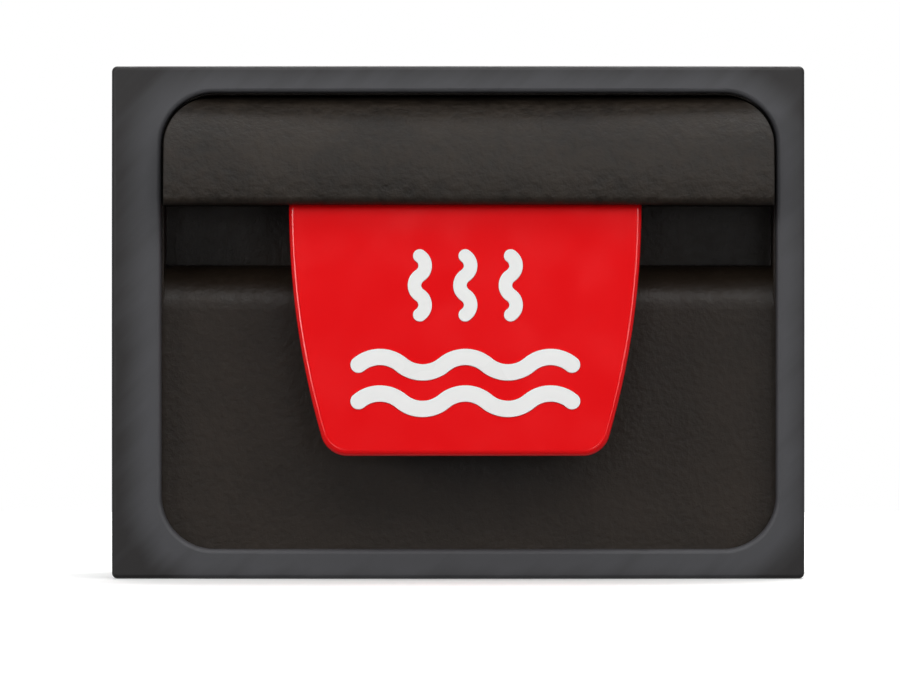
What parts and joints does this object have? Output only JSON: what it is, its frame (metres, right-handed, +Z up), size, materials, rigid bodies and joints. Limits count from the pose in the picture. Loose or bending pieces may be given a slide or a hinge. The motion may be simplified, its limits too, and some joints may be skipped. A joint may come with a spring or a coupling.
{
  "type": "hot water dispense module",
  "caption": "Push-paddle hot water tap module: a framed recess with a rounded hood and a hinged red paddle that lifts a spring-closed seat valve on a bulkhead plate.",
  "frame": {"origin": "centre of the four bulkhead holes, on the back plate's rear face", "axes": "+X to the right seen from the front, +Y to the back, +Z up"},
  "size_m": [0.098, 0.1028, 0.0724],
  "materials": {
    "frame_plastic": "satin moulded, dark grey",
    "housing_plastic": "coarse moulded grain, black",
    "paddle_plastic": "glossy moulded, red",
    "symbol_plastic": "glossy moulded inlay, white",
    "lever_plastic": "moulded, natural acetal",
    "bush_plastic": "moulded, dark grey",
    "pin_steel": "turned stainless",
    "spring_steel": "drawn stainless wire and strip",
    "sheet_steel": "brushed stainless sheet",
    "valve_brass": "turned brass",
    "screw_steel": "bright zinc plated",
    "gasket_rubber": "moulded, black",
    "seal_silicone": "moulded silicone, brick red"
  },
  "bodies": {
    "housing": {"fascia": "frame_plastic", "panel_gasket": "gasket_rubber", "liner": "housing_plastic", "hood": "housing_plastic", "hinge_pin": "pin_steel", "hinge_clips": "spring_steel", "right_bracket": "sheet_steel", "left_bracket": "sheet_steel", "back_plate": "sheet_steel", "valve_body": "valve_brass", "valve_bonnet": "valve_brass", "stem_seal": "seal_silicone", "bonnet_seal": "seal_silicone", "fork_buffer": "gasket_rubber", "return_spring": "spring_steel", "spout_tube": "pin_steel", "spout_seal": "seal_silicone", "spout_nut": "valve_brass", "outlet_insert": "bush_plastic", "inlet_gasket": "seal_silicone", "inlet_locknut": "valve_brass", "tail_seal": "seal_silicone", "hose_tail": "valve_brass", "fascia_screws": "screw_steel", "hood_screws": "screw_steel", "bracket_screws": "screw_steel", "plate_screws": "screw_steel", "plate_nuts": "screw_steel"},
    "paddle": {"paddle_cap": "paddle_plastic", "paddle_symbol": "symbol_plastic", "lever": "lever_plastic", "lever_bushes": "bush_plastic", "paddle_screws": "screw_steel"},
    "stem": {"valve_stem": "pin_steel", "seat_washer": "seal_silicone", "stem_head": "pin_steel", "spring_seat": "pin_steel", "stem_clip": "spring_steel"}
  },
  "joints": [
    {"name": "paddle_hinge", "type": "hinge", "parent": "housing", "child": "paddle", "pos_m": [0, -0.054, 0.0239], "axis": [1, 0, 0], "range_deg": [0, 10], "stiffness_Nm_per_rad": 0.93, "springref_deg": -12.32},
    {"name": "stem_slide", "type": "slide", "parent": "housing", "child": "stem", "axis": [0, 0, 1], "range_m": [0, 0.0049], "deforming": ["return_spring"]}
  ],
  "couplings": [
    {"joint": "stem_slide", "follows": "paddle_hinge", "m_per_rad": 0.027858}
  ]
}
